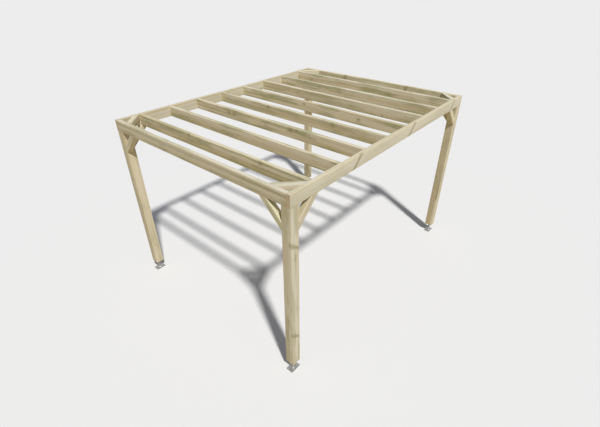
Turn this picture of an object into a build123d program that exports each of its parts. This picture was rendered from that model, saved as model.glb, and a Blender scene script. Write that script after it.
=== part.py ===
from build123d import *

import os
from math import sqrt

# A free-standing garden pergola of planed softwood: four square posts on steel shoes carry a
# rectangular frame of planks on edge, filled with joists, and braced at every corner.
# Frame: origin on the ground in the middle of the plan, +X across the front to the right,
# +Y along the joist row to the back, +Z up. All lengths are millimetres.

# Outline of the frame
frame_width = 3000.0  # outer face to outer face of the two side beams
frame_length = 3910.0  # front face of the front beam to back face of the back beam
headroom = 2320.0  # ground to the underside of the beams

# Timber sections
post_side = 115.0
beam_depth = 140.0  # upright size of beams and joists, which are cut from one section
beam_thick = 50.0
brace_side = 70.0  # the knee and corner braces are square too
arris = 4.0  # rounding along the planed edges
end_bevel = 2.0  # bevel round the ends that stay open to view

# Layout of joists and braces
joist_count = 8
end_bay = 260.0  # clear width between an end beam and the joist next to it
knee_reach = 285.0  # how far a knee brace reaches along the beam and down the post
corner_gap = 3.0  # air between a corner brace and the joist beside it

# Steel shoe under each post: foot plate, sleeve, adjusting nut, rod and head plate
shoe_height = 140.0  # ground to the foot of the post
foot_width = 95.0  # across the front
foot_length = 145.0  # along the side beams
foot_plate = 8.0
foot_corner = 8.0  # corner radius of the foot plate
bolt_hole = 11.0  # diameter of the ground bolt holes
bolt_edge = 18.0  # bolt hole centre to the plate's edge
sleeve_diameter = 34.0
sleeve_height = 62.0  # above the foot plate
weld = 5.0  # leg of the weld round the foot of the sleeve
rod_diameter = 22.0  # at the pitch line of its thread
nut_flats = 36.0
nut_height = 19.0
nut_bevel = 1.5
head_plate = 6.0
head_inset = 10.0  # post face to the edge of the head plate
head_corner = 5.0  # corner radius of the head plate

# Places that follow from the sizes above
half_width = frame_width / 2
half_length = frame_length / 2
frame_top = headroom + beam_depth
post_length = headroom - shoe_height
inner_width = frame_width - 2 * beam_thick
beam_middle = headroom + beam_depth / 2
corner_reach = end_bay - corner_gap
head_side = post_side - 2 * head_inset
first_joist = -half_length + beam_thick + end_bay + beam_thick / 2
joist_pitch = -2 * first_joist / (joist_count - 1)

sides = {"left": -1, "right": 1}
ends = {"front": -1, "back": 1}
corners = [(f"{end_name}_{side_name}", side, end)
           for end_name, end in ends.items()
           for side_name, side in sides.items()]

os.makedirs("parts", exist_ok=True)


def save(piece, name):
    """Label a finished piece and write it to its own file."""
    piece.part.label = name
    export_step(piece.part, f"parts/{name}.step")


# Steel shoes, built from the ground up round the post's centre line
for corner, side, end in corners:
    shoe_x = side * (half_width - post_side / 2)
    shoe_y = end * (half_length - post_side / 2)
    nut_seat = foot_plate + sleeve_height
    head_seat = shoe_height - head_plate
    with BuildPart() as shoe:
        with BuildSketch(Plane(origin=(shoe_x, shoe_y, 0))):
            RectangleRounded(foot_width, foot_length, foot_corner)
            with GridLocations(foot_width - 2 * bolt_edge, foot_length - 2 * bolt_edge, 2, 2):
                Circle(bolt_hole / 2, mode=Mode.SUBTRACT)
        extrude(amount=foot_plate)
        with BuildSketch(Plane(origin=(shoe_x, shoe_y, foot_plate))):
            Circle(sleeve_diameter / 2 + weld)
        extrude(amount=weld, taper=45)
        with BuildSketch(Plane(origin=(shoe_x, shoe_y, foot_plate))):
            Circle(sleeve_diameter / 2)
        extrude(amount=sleeve_height)
        with BuildSketch(Plane(origin=(shoe_x, shoe_y, nut_seat))):
            RegularPolygon(nut_flats / 2, 6, major_radius=False)
        extrude(amount=nut_height)
        nut_rims = shoe.faces(Select.LAST).sort_by(Axis.Z)[-1].edges()
        chamfer(nut_rims, length=nut_bevel)
        with BuildSketch(Plane(origin=(shoe_x, shoe_y, nut_seat))):
            Circle(rod_diameter / 2)
        extrude(amount=head_seat - nut_seat)
        with BuildSketch(Plane(origin=(shoe_x, shoe_y, head_seat))):
            RectangleRounded(head_side, head_side, head_corner)
        extrude(amount=head_plate)
    save(shoe, f"shoe_{corner}")

# Posts, square with rounded arrises, standing on the head plates
for corner, side, end in corners:
    post_x = side * (half_width - post_side / 2)
    post_y = end * (half_length - post_side / 2)
    with BuildPart() as post:
        with BuildSketch(Plane(origin=(post_x, post_y, shoe_height))):
            RectangleRounded(post_side, post_side, arris)
        extrude(amount=post_length)
        chamfer(post.faces().sort_by(Axis.Z)[0].edges(), length=end_bevel)
    save(post, f"post_{corner}")

# Side beams run the whole length over the posts, with their ends open to view
for side_name, side in sides.items():
    beam_start = (side * (half_width - beam_thick / 2), -half_length, beam_middle)
    with BuildPart() as side_beam:
        with BuildSketch(Plane(origin=beam_start, x_dir=(1, 0, 0), z_dir=(0, 1, 0))):
            RectangleRounded(beam_thick, beam_depth, arris)
        extrude(amount=frame_length)
        end_faces = side_beam.faces().filter_by(Axis.Y)
        chamfer(end_faces.sort_by(Axis.Y)[0].edges(), length=end_bevel)
        end_faces = side_beam.faces().filter_by(Axis.Y)
        chamfer(end_faces.sort_by(Axis.Y)[-1].edges(), length=end_bevel)
    save(side_beam, f"beam_{side_name}")

# End beams and joists share one section and butt between the side beams
end_beam_row = half_length - beam_thick / 2
cross_rows = {"beam_front": -end_beam_row, "beam_back": end_beam_row}
for number in range(joist_count):
    cross_rows[f"joist_{number + 1}"] = first_joist + number * joist_pitch
for row_name, row_y in cross_rows.items():
    row_start = (-inner_width / 2, row_y, beam_middle)
    with BuildPart() as cross_beam:
        with BuildSketch(Plane(origin=row_start, x_dir=(0, 1, 0), z_dir=(1, 0, 0))):
            RectangleRounded(beam_thick, beam_depth, arris)
        extrude(amount=inner_width)
    save(cross_beam, row_name)

# Knee braces: lengths of stock laid at 45 degrees, flush with the outer faces, then cut
# plumb where they meet the post and level where they meet the underside of the beam
knee_offset = knee_reach / 2 - brace_side / (2 * sqrt(2))
up = Vector(0, 0, 1)
for corner, side, end in corners:
    cross_nook = Vector(side * (half_width - post_side), end * (half_length - brace_side / 2), headroom)
    side_nook = Vector(side * (half_width - brace_side / 2), end * (half_length - post_side), headroom)
    knees = {
        "cross": (cross_nook, Vector(-side, 0, 0)),
        "side": (side_nook, Vector(0, -end, 0)),
    }
    for run, (nook, inward) in knees.items():
        middle = nook + inward * knee_offset - up * knee_offset
        with BuildPart() as knee:
            with BuildSketch(Plane(origin=middle, x_dir=inward.cross(up), z_dir=inward + up)):
                RectangleRounded(brace_side, brace_side, arris)
            extrude(amount=knee_reach, both=True)
            split(bisect_by=Plane(origin=nook, z_dir=inward), keep=Keep.TOP)
            split(bisect_by=Plane(origin=nook, z_dir=-up), keep=Keep.TOP)
        save(knee, f"knee_brace_{corner}_{run}")

# Corner braces: the same stock laid across each corner of the frame, level with its top
# and cut off against the inner faces of the two beams
corner_offset = corner_reach / 2 - brace_side / (2 * sqrt(2))
brace_level = frame_top - brace_side / 2
for corner, side, end in corners:
    nook = Vector(side * (half_width - beam_thick), end * (half_length - beam_thick), brace_level)
    along_front = Vector(-side, 0, 0)
    along_side = Vector(0, -end, 0)
    from_nook = along_front + along_side
    middle = nook + from_nook * corner_offset
    with BuildPart() as corner_brace:
        with BuildSketch(Plane(origin=middle, x_dir=from_nook, z_dir=along_front - along_side)):
            RectangleRounded(brace_side, brace_side, arris)
        extrude(amount=corner_reach, both=True)
        split(bisect_by=Plane(origin=nook, z_dir=along_front), keep=Keep.TOP)
        split(bisect_by=Plane(origin=nook, z_dir=along_side), keep=Keep.TOP)
    save(corner_brace, f"corner_brace_{corner}")
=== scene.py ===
"""Looks of a free-standing garden pergola of planed, pressure-treated softwood.

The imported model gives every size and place. Each timber is modelled again over its own solid,
so that drying checks and screw pockets can be cut into it, and each gets a grain of its own,
grown round a heart line. The steel shoes keep their solids and gain the thread of their rods.
Lengths are metres: +X runs across the front to the right, +Y to the back and +Z up.
"""

import logging
import math
import random
from collections.abc import Callable, Iterable, Sequence
from dataclasses import dataclass, field
from enum import Enum

import bmesh
import bpy
from mathutils import Matrix, Vector


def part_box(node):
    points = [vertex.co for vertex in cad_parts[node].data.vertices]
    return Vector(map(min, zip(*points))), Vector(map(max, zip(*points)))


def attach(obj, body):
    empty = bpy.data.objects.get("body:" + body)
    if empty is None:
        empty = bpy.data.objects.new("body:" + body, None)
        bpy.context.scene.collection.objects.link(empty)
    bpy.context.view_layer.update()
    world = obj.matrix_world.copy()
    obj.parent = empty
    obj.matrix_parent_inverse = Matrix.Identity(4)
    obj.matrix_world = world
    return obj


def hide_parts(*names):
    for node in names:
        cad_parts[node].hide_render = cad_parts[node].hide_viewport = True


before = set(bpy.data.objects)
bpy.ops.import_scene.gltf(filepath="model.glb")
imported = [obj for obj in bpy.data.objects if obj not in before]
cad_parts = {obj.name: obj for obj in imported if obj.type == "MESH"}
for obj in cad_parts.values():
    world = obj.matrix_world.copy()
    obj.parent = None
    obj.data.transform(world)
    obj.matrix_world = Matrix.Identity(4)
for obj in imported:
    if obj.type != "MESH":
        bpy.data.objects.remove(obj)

log = logging.getLogger("pergola")

Colour = tuple[float, float, float, float]
Place = tuple[float, float, float]
Range = tuple[float, float]
Piece = bpy.types.Object
Socket = bpy.types.NodeSocket
Test = Callable[[bmesh.types.BMVert | bmesh.types.BMEdge | bmesh.types.BMFace], bool]

MILLIMETRE = 0.001
HAIR = 1e-5  # places closer than this count as the same
ALIGNED = 0.99  # directions whose cosine is above this count as the same
SMOOTHED = math.radians(30.0)  # faces that meet at less than this are shaded as one
FAR = 99.0  # a distance in knot radii at which nothing of a knot shows
UNIT = Vector((1, 1, 1))
X_AXIS, Y_AXIS, Z_AXIS = Vector((1, 0, 0)), Vector((0, 1, 0)), Vector((0, 0, 1))


def srgb(*levels: int) -> Colour:
    """Turn a colour as it shows on a screen into the linear one that a shader takes.

    Args:
        levels: Its red, green and blue from 0 to 255.

    Returns:
        The linear colour, fully opaque.
    """
    toe, slope, offset, gamma = 0.04045, 12.92, 0.055, 2.4
    linear = []
    for level in (whole / 255 for whole in levels):
        linear.append(level / slope if level <= toe else ((level + offset) / (1 + offset)) ** gamma)
    return (*linear, 1.0)


class Corner(Enum):
    """A corner of the plan, with its name and its side along X and Y."""

    FRONT_LEFT = ("front_left", -1, -1)
    FRONT_RIGHT = ("front_right", 1, -1)
    BACK_LEFT = ("back_left", -1, 1)
    BACK_RIGHT = ("back_right", 1, 1)

    def __init__(self, label: str, side: int, end: int) -> None:
        """Keep the corner's name and signs under plain names.

        Args:
            label: Its name, as the nodes of the record have it.
            side: -1 on the left and 1 on the right.
            end: -1 at the front and 1 at the back.
        """
        self.label = label
        self.side = side
        self.end = end


class Part(Enum):
    """What kind of mesh element a selection picks."""

    VERT = "VERT"
    EDGE = "EDGE"
    FACE = "FACE"


class Slot(Enum):
    """The record's material slots."""

    POST = "post_timber"
    BEAM = "beam_timber"
    JOIST = "joist_timber"
    BRACE = "brace_timber"
    STEEL = "galvanised_steel"


class Bench:
    """The steps of work on a mesh that every new piece needs."""

    @staticmethod
    def clear() -> None:
        """Leave edit mode and deselect everything."""
        if bpy.context.mode != "OBJECT":
            bpy.ops.object.mode_set(mode="OBJECT")
        bpy.ops.object.select_all(action="DESELECT")

    @staticmethod
    def hold(*pieces: Piece) -> None:
        """Select these pieces alone, the first of them active.

        Args:
            pieces: The pieces to select.
        """
        Bench.clear()
        for piece in pieces:
            piece.select_set(True)
        bpy.context.view_layer.objects.active = pieces[0]

    @staticmethod
    def edit(piece: Piece) -> None:
        """Open one piece in edit mode with nothing of it selected.

        Args:
            piece: The piece to open.
        """
        Bench.hold(piece)
        bpy.ops.object.mode_set(mode="EDIT")
        bpy.ops.mesh.select_all(action="DESELECT")

    @staticmethod
    def name(piece: Piece, name: str) -> None:
        """Name a piece and its mesh."""
        piece.name = piece.data.name = name

    @staticmethod
    def settle(name: str) -> Piece:
        """Name the new primitive, put its place, turn and scale into its mesh, and open it.

        Args:
            name: The name that it gets.

        Returns:
            The piece, open in edit mode.
        """
        piece = bpy.context.active_object
        Bench.name(piece, name)
        bpy.ops.object.transform_apply(location=True, rotation=True, scale=True)
        Bench.edit(piece)
        return piece

    @staticmethod
    def block(name: str, middle: Vector, size: Vector, turn: Matrix) -> Piece:
        """Start a piece from a cube.

        Args:
            name: The piece's name.
            middle: Where its middle is.
            size: Its three sizes along its own axes.
            turn: The rotation that turns its own axes.

        Returns:
            The piece, open in edit mode.
        """
        Bench.clear()
        bpy.ops.mesh.primitive_cube_add(size=1, location=middle, rotation=turn.to_euler(), scale=size)
        return Bench.settle(name)

    @staticmethod
    def cylinder(name: str, sides: int, radius: float, top: float, height: float) -> Piece:
        """Start a piece from an upright cylinder round the Z axis.

        Args:
            name: The piece's name.
            sides: How many sides it has.
            radius: Its radius.
            top: The height of its top.
            height: How far it reaches down from there.

        Returns:
            The piece, open in edit mode.
        """
        Bench.clear()
        middle = (0, 0, top - height / 2)
        bpy.ops.mesh.primitive_cylinder_add(vertices=sides, radius=radius, depth=height, location=middle)
        return Bench.settle(name)

    @staticmethod
    def pick_all(part: Part) -> None:
        """Select the whole of the open piece."""
        bpy.ops.mesh.select_mode(type=part.value)
        bpy.ops.mesh.select_all(action="SELECT")

    @staticmethod
    def pick(piece: Piece, part: Part, test: Test) -> None:
        """Select the elements of an open piece that pass a test, and no others.

        Args:
            piece: The piece, open in edit mode.
            part: Which kind of element is tested.
            test: Says of an element whether it is wanted.
        """
        bpy.ops.mesh.select_mode(type=part.value)
        bpy.ops.mesh.select_all(action="DESELECT")
        mesh = bmesh.from_edit_mesh(piece.data)
        pools = {Part.VERT: mesh.verts, Part.EDGE: mesh.edges, Part.FACE: mesh.faces}
        for element in filter(test, pools[part]):
            element.select_set(True)
        mesh.select_flush_mode()
        bmesh.update_edit_mesh(piece.data)

    @staticmethod
    def facing(way: Vector) -> Test:
        """Make the test that a face looks this way."""
        return lambda face: face.normal.dot(way) > ALIGNED

    @staticmethod
    def running(way: Vector) -> Test:
        """Make the test that an edge runs this way."""
        return lambda edge: abs((edge.verts[0].co - edge.verts[1].co).normalized().dot(way)) > ALIGNED

    @staticmethod
    def scale_level(along: float, across: float) -> None:
        """Scale the selection along X and along Y, from the origin."""
        bpy.ops.transform.resize(value=(along, across, 1.0), center_override=(0, 0, 0))

    @staticmethod
    def raise_by(height: float) -> None:
        """Move the selection straight up."""
        bpy.ops.transform.translate(value=(0, 0, height))

    @staticmethod
    def close(piece: Piece) -> None:
        """Finish a mesh: faces outward, edit mode left, and faces that nearly align shaded as one.

        Args:
            piece: The piece, open in edit mode.
        """
        Bench.pick_all(Part.FACE)
        bpy.ops.mesh.normals_make_consistent(inside=False)
        bpy.ops.mesh.select_all(action="DESELECT")
        Bench.hold(piece)
        bpy.ops.object.shade_smooth_by_angle(angle=SMOOTHED)

    @staticmethod
    def apply(piece: Piece, kind: str, **settings: object) -> None:
        """Add a modifier to a piece, set it and apply it.

        Args:
            piece: The piece that it works on.
            kind: Blender's name for the modifier's type.
            settings: The modifier's properties.
        """
        Bench.hold(piece)
        bpy.ops.object.modifier_add(type=kind)
        modifier = piece.modifiers[-1]
        for name, value in settings.items():
            setattr(modifier, name, value)
        bpy.ops.object.modifier_apply(modifier=modifier.name)

    @staticmethod
    def copy(model: Piece, name: str, place: Matrix) -> Piece:
        """Copy a model with a mesh of its own and put the copy in its place.

        Args:
            model: What is copied.
            name: The copy's name.
            place: Where the model's own frame goes.

        Returns:
            The copy.
        """
        twin = model.copy()
        twin.data = model.data.copy()
        Bench.name(twin, name)
        twin.data.transform(place)
        bpy.context.scene.collection.objects.link(twin)
        return twin

    @staticmethod
    def join(name: str, pieces: Sequence[Piece]) -> Piece:
        """Join pieces into one.

        Args:
            name: The name of what they become.
            pieces: The pieces to join.

        Returns:
            The joined piece.
        """
        Bench.hold(*pieces)
        if len(pieces) > 1:
            bpy.ops.object.join()
        Bench.name(pieces[0], name)
        return pieces[0]

    @staticmethod
    def discard(pieces: Iterable[Piece]) -> None:
        """Delete pieces that were only models or cutters."""
        for piece in pieces:
            bpy.data.meshes.remove(piece.data)


def frame_matrix(along: Vector, outward: Vector, place: Vector, size: Vector = UNIT) -> Matrix:
    """Make the matrix that lays a model along one direction and turns its top outward.

    Args:
        along: Where the model's own X goes.
        outward: Where its own Z goes.
        place: Where its origin goes.
        size: How much it is scaled along its own axes.

    Returns:
        The matrix.
    """
    forward, top = along.normalized(), outward.normalized()
    turn = Matrix((forward, top.cross(forward), top)).transposed()
    return Matrix.Translation(place) @ turn.to_4x4() @ Matrix.Diagonal(size).to_4x4()


# Finishes


class Signal:
    """A number, a vector or a colour in a node tree, with arithmetic that adds nodes for it."""

    def __init__(self, sheet: "Sheet", socket: Socket) -> None:
        """Keep its sheet, its socket and the kind of node that reckons with it.

        Args:
            sheet: The sheet that it is on.
            socket: The output that carries it.
        """
        self.sheet = sheet
        self.socket = socket
        self.kind = "Math" if socket.type == "VALUE" else "VectorMath"

    def then(self, operation: str, *others: "Source") -> "Signal":
        """Reckon on with it, and with others after it, by one of Blender's operations."""
        return self.sheet.signal(self.kind, dict(enumerate((self, *others))), operation=operation)

    def __add__(self, other: "Source") -> "Signal":
        """Add another source."""
        return self.then("ADD", other)

    def __sub__(self, other: "Source") -> "Signal":
        """Take another source away."""
        return self.then("SUBTRACT", other)

    def __mul__(self, other: "Source") -> "Signal":
        """Multiply it by another source."""
        return self.then("MULTIPLY", other)

    def __truediv__(self, other: "Source") -> "Signal":
        """Divide it by another source."""
        return self.then("DIVIDE", other)

    def __pow__(self, power: float) -> "Signal":
        """Raise it to a power."""
        return self.then("POWER", power)

    def blended(self, share: float, other: "Signal") -> "Signal":
        """Take this share of it and the rest of another."""
        return self * share + other * (1.0 - share)

    @property
    def parts(self) -> list["Signal"]:
        """The three numbers of a vector or a colour."""
        return [Signal(self.sheet, part) for part in self.sheet.node("SeparateXYZ", {0: self}).outputs]


Source = Signal | Socket | float | tuple[float, ...]
Coat = tuple[Source, Source]  # the share of a colour that lies over the ones below, and the colour


@dataclass(frozen=True)
class Cells:
    """How fine noise is, in cells to a metre along the grain and across it."""

    along: float
    across: float
    detail: float = 2.0  # how many octaves it has
    roughness: float = 0.5  # how strong the finer ones are


class Sheet:
    """A node tree that is being drawn up, with a method for each kind of step in it."""

    SHARE, BELOW, ABOVE = 0, 6, 7  # the inputs of a Mix node that mixes colours

    def __init__(self, tree: bpy.types.NodeTree) -> None:
        """Keep the tree that the nodes go into."""
        self.tree = tree

    def feed(self, socket: Socket, source: Source) -> None:
        """Join a source to a socket, or set it there if it is a plain value.

        Args:
            socket: The socket that takes it.
            source: What it takes.
        """
        source = source.socket if isinstance(source, Signal) else source
        if isinstance(source, Socket):
            self.tree.links.new(source, socket)
        else:
            socket.default_value = source

    def node(
        self, kind: str, sources: dict[int | str, Source] | None = None, **settings: object
    ) -> bpy.types.Node:
        """Add a node, set its properties and feed its inputs.

        Args:
            kind: The node's type without its leading ShaderNode.
            sources: What goes into its inputs, by their numbers or names.
            settings: The node's properties.

        Returns:
            The node.
        """
        node = self.tree.nodes.new(f"ShaderNode{kind}")
        for name, value in settings.items():
            setattr(node, name, value)
        for key, source in (sources or {}).items():
            self.feed(node.inputs[key], source)
        return node

    def signal(self, kind: str, sources: dict[int | str, Source], **settings: object) -> Signal:
        """Add a node as above, and take the first of its outputs that is in use."""
        outputs = self.node(kind, sources, **settings).outputs
        return Signal(self, next(socket for socket in outputs if socket.enabled))

    def noise(self, place: Signal, cells: Cells) -> list[Signal]:
        """Lay noise over a place.

        Args:
            place: The place, with the grain along its first axis.
            cells: How fine the noise is.

        Returns:
            The noise as one number, and as three.
        """
        sources = {
            "Vector": place * (cells.along, cells.across, cells.across),
            "Scale": 1.0,
            "Detail": cells.detail,
            "Roughness": cells.roughness,
        }
        return [Signal(self, socket) for socket in self.node("TexNoise", sources).outputs]

    def step(self, value: Source, start: float, full: float) -> Signal:
        """Go smoothly from 0 to 1 as a value goes, up or down, from its start to where it is full."""
        sources = {"Value": value, "From Min": start, "From Max": full}
        return self.signal("MapRange", sources, interpolation_type="SMOOTHSTEP")

    def mix(self, share: Source, below: Source, above: Source, blend: str = "MIX") -> Signal:
        """Lay a share of one colour over another, blended in one of Blender's ways."""
        sources = {self.SHARE: share, self.BELOW: below, self.ABOVE: above}
        return self.signal("Mix", sources, data_type="RGBA", blend_type=blend)

    def relief(self, height: Source, depth: float, strength: float = 1.0) -> Signal:
        """Turn a height from 0 to 1 into a normal, as if it were this deep."""
        return self.signal("Bump", {"Height": height, "Distance": depth, "Strength": strength})

    def surface(self, sources: dict[int | str, Source]) -> None:
        """Give the material a surface with these values."""
        self.node("OutputMaterial", {"Surface": self.node("BsdfPrincipled", sources).outputs[0]})


def new_material(name: str) -> tuple[bpy.types.Material, Sheet]:
    """Start a material with an empty node tree.

    Args:
        name: The material's name.

    Returns:
        The material, and the sheet for its nodes.
    """
    material = bpy.data.materials.new(name)
    material.use_nodes = True
    material.node_tree.nodes.clear()
    return material, Sheet(material.node_tree)


def put_on(piece: Piece, material: bpy.types.Material) -> None:
    """Make this the only material of a piece."""
    piece.data.materials.clear()
    piece.data.materials.append(material)


@dataclass(frozen=True)
class Knot:
    """A branch stub that shows on a timber, in the timber's own axes."""

    place: Place  # a point on the branch: along the grain, across the face, and through the edge
    branch: Place
    radius: float  # its radius at that point
    root: float = 0.2  # how far back from there it has tapered away to nothing
    # By how many radii the saw missed it, so that only the stained wood round it shows
    cover: float = 0.0


@dataclass(frozen=True)
class Character:
    """What sets one timber apart from the others of its kind."""

    tone: float = 1.0  # how light it is
    warmth: float = 0.7  # how much of it is tan rather than pale
    sapwood: Range = (0.0, 0.0)  # the middle of its bleached band, across the face and through the edge
    sapwood_reach: float = 1.0 * MILLIMETRE  # how far the band reaches from there
    knots: tuple[Knot, ...] = ()  # the knots that are put where they have to be
    clear: bool = False  # whether it has no other knots


@dataclass(frozen=True)
class Tint:
    """A colour that lies over the wood where a pattern calls for it."""

    colour: Colour
    start: float  # the value of the pattern at which it begins to show
    full: float  # the value at which it shows fully
    share: float = 1.0  # how much of it shows there


@dataclass(frozen=True)
class Branches:
    """A set of branches that grow from the heart, one in each stretch of the timber."""

    per_metre: float  # how many stretches there are to a metre
    shift: float  # moves the set along, so that two sets differ
    thinnest: float  # the radius of its thinnest branch
    spread: float  # by how much the radius of its thickest one is larger

    LEAN = 0.3  # how far a branch rises along the grain for each metre outward
    AT_HEART = 0.45  # its thickness at the heart, as a share of its radius
    WIDENING = 9.0  # how much that share grows for each metre outward
    LEAST_RADIUS = 1.5 * MILLIMETRE
    COVER = 1.7  # the most by which the saw misses one, in squared radii
    FIRST_REACH = 4.0 * MILLIMETRE  # how far from the heart a branch begins


class SoftwoodPattern:
    """The node group of treated softwood, which every timber shares with its own numbers."""

    NAME = "treated_softwood"
    VECTORS = ("Place", "Grain", "Heart", "Half", "Sapwood")
    NUMBERS = ("Seed", "Green", "Warmth", "Tone", "Sapwood Reach", "Placed Knots", "Clear")

    PALE = srgb(227, 218, 192)
    SUMMER_WOOD = srgb(188, 163, 120)
    END_PALE = srgb(218, 200, 165)
    END_DARK = srgb(167, 139, 104)
    FIBRE = Tint(srgb(199, 184, 149), 0.42, 0.72, 0.38)
    TAN = Tint(srgb(199, 182, 141), 0.44, 0.6)
    BLEACHED = Tint(srgb(223, 218, 201), 1.0, 0.3, 0.75)
    PINK = Tint(srgb(208, 184, 156), 0.5, 0.72, 0.35)
    OLIVE = Tint(srgb(164, 160, 113), 0.46, 0.58)
    DEEP_OLIVE = Tint(srgb(126, 121, 79), 0.54, 0.72, 0.75)
    KNOT_HALO = Tint(srgb(152, 140, 98), 3.0, 0.9, 0.85)
    KNOT_RIM = Tint(srgb(112, 93, 59), 1.1, 0.92, 0.7)
    KNOT_HEART = Tint(srgb(154, 126, 82), 0.9, 0.55)
    # A painted highlight: a pale tint laid along every eased arris, where the edges catch the light
    ARRIS_HIGHLIGHT = Tint(srgb(230, 221, 195), 6.5 * MILLIMETRE, 1.5 * MILLIMETRE, 0.55)

    FIBRES = Cells(7.0, 330.0, 3.0, 0.6)
    WANDERING = Cells(1.1, 4.0)
    UNEVEN_YEARS = Cells(0.5, 12.0)
    RAGGED_KNOTS = Cells(60.0, 90.0)
    SOAKED_STREAKS = Cells(0.75, 24.0, 4.0, 0.55)
    SOAKED_PATCHES = Cells(2.4, 10.0, 3.0)
    SPECKS = Cells(6.5, 32.0, 3.0, 0.55)
    TAN_BANDS = Cells(0.3, 17.0)
    BLUSHES = Cells(0.5, 46.0, 3.0)
    # The noise that breaks up the painted arris highlight along each edge
    HIGHLIGHT_BREAKS = Cells(9.0, 40.0)

    LARGE = Branches(1.25, 0.37, 5.5 * MILLIMETRE, 6.5 * MILLIMETRE)
    SMALL = Branches(2.3, 5.13, 2.2 * MILLIMETRE, 3.8 * MILLIMETRE)

    SEED_SHIFT = (3.71, 1.37, 2.19)  # how far each unit of the seed moves the patterns
    HEART_WANDER = 0.034  # how far the heart line wanders
    RINGS = 235.0  # growth rings to a metre
    UNEVENNESS = 3.0  # by how many rings the years differ
    BULGE = 11.0 * MILLIMETRE  # how far the rings swell round a branch
    BULGE_FALL = -0.16  # how fast the swelling falls off
    LATE_RISE = 2.4  # how slowly the summer wood comes within a year
    YEAR_END = (1.0, 0.9)  # where in a year it ends
    SUMMER_SHARE = 0.42  # how strongly the summer wood shows
    KNOT_CORE = (1.05, 0.7)  # where a knot's hard core lies, in radii
    KNOT_RINGS = (21.0, 0.2, 0.7)  # how close a knot's own rings are, how strong, and their mean
    RAGGED = (0.7, 0.78)  # how ragged a knot's outline is, and its least width
    SAWN = (0.8, 0.92)  # how squarely a face cuts the grain to count as an end
    HIGHLIGHT_SPAN = (0.3, 0.7)  # between which values of its noise the painted highlight on an edge shows
    STREAK_SHARE = 0.55  # how much of the soaked places is streaks and not patches
    END_FIBRE = 0.3  # how much of an end's figure is fibre and not rings
    ROUGHNESS = (0.52, 0.22, -0.12)  # the smoothest, and what fibre and knots add to it
    HEIGHT = (0.45, 0.8, -0.35)  # what summer wood, fibre and knots add to the relief

    @classmethod
    def tree(cls) -> bpy.types.NodeTree:
        """Return the group, drawn up the first time that it is asked for."""
        return bpy.data.node_groups.get(cls.NAME) or cls()._draw()

    def _draw(self) -> bpy.types.NodeTree:
        """Draw up the whole group.

        Returns:
            The node group.
        """
        tree = bpy.data.node_groups.new(self.NAME, "ShaderNodeTree")
        for way, kind, names in (
            ("INPUT", "Vector", self.VECTORS),
            ("INPUT", "Float", self.NUMBERS),
            ("OUTPUT", "Color", ("Colour",)),
            ("OUTPUT", "Float", ("Roughness", "Height")),
        ):
            for name in names:
                tree.interface.new_socket(name, in_out=way, socket_type=f"NodeSocket{kind}")
        sheet = self.sheet = Sheet(tree)
        entry = tree.nodes.new("NodeGroupInput").outputs
        self.given = {name: Signal(sheet, entry[name]) for name in (*self.VECTORS, *self.NUMBERS)}
        sources = {0: self.SEED_SHIFT, 1: self.given["Seed"]}
        shift = sheet.signal("VectorMath", sources, operation="MULTIPLY")
        self.place = self.given["Place"] + shift
        drift = sheet.noise(self.place, self.WANDERING)[1]
        wander = (drift - (0.5, 0.5, 0.5)) * (0.0, self.HEART_WANDER, self.HEART_WANDER)
        flat = self.given["Place"] * (0.0, 1.0, 1.0)
        self.section = flat - self.given["Heart"] + wander
        strayed = (flat - self.given["Sapwood"] + wander).then("LENGTH")
        self.strayed = strayed / self.given["Sapwood Reach"]
        self.nearness = self._nearness()
        self.late, self.fibre = self._rings(), self._noise(self.FIBRES)
        colour: Source = self.PALE
        coats = (*self._face_coats(), self._end_coat(), *self._knot_coats(), self._arris_highlight_coat())
        for share, coat in coats:
            colour = sheet.mix(share, colour, coat)
        core = sheet.step(self.nearness, *self.KNOT_CORE)
        result = tree.nodes.new("NodeGroupOutput").inputs
        sheet.feed(result["Colour"], sheet.mix(1.0, colour, self.given["Tone"], "MULTIPLY"))
        smooth, fibrous, knotty = self.ROUGHNESS
        sheet.feed(result["Roughness"], self.fibre * fibrous + smooth + core * knotty)
        ringed, fibrous, knotty = self.HEIGHT
        sheet.feed(result["Height"], self.late * ringed + self.fibre * fibrous + core * knotty)
        return tree

    def _noise(self, cells: Cells) -> Signal:
        """Lay noise over the timber."""
        return self.sheet.noise(self.place, cells)[0]

    def _branches(self, kind: Branches) -> Signal:
        """Grow a set of branches from the heart.

        Args:
            kind: The set.

        Returns:
            The distance to the nearest branch in units of its radius.
        """
        sheet = self.sheet
        station = self.place.parts[0] + kind.shift
        sources = {"W": station, "Scale": kind.per_metre}
        cell = sheet.node("TexVoronoi", sources, voronoi_dimensions="1D", feature="F1").outputs
        turn, girth, cover = Signal(sheet, cell["Color"]).parts
        angle = turn * math.tau
        cosine, sine = angle.then("COSINE"), angle.then("SINE")
        reach = self.section.then("DOT_PRODUCT", sheet.signal("CombineXYZ", {1: cosine, 2: sine}))
        beside = sheet.signal("CombineXYZ", {1: sine * -1.0, 2: cosine})
        aside = self.section.then("DOT_PRODUCT", beside)
        rising = station - cell["W"] - reach * kind.LEAN
        distance = (rising**2.0 + aside**2.0).then("SQRT")
        grown = (girth * kind.spread + kind.thinnest) * (reach * kind.WIDENING + kind.AT_HEART)
        ratio = distance / grown.then("MAXIMUM", kind.LEAST_RADIUS)
        behind = reach.then("LESS_THAN", kind.FIRST_REACH)
        return (ratio**2.0 + cover * kind.COVER).then("SQRT") + behind * FAR

    def _nearness(self) -> Signal:
        """Take the nearest of the random branches and the placed knots.

        Returns:
            The distance to the nearest branch in units of its radius, with a ragged outline.
        """
        grown = self._branches(self.LARGE).then("MINIMUM", self._branches(self.SMALL))
        nearest = (grown + self.given["Clear"] * FAR).then("MINIMUM", self.given["Placed Knots"])
        ragged, least = self.RAGGED
        return nearest * (self._noise(self.RAGGED_KNOTS) * ragged + least)

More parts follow.
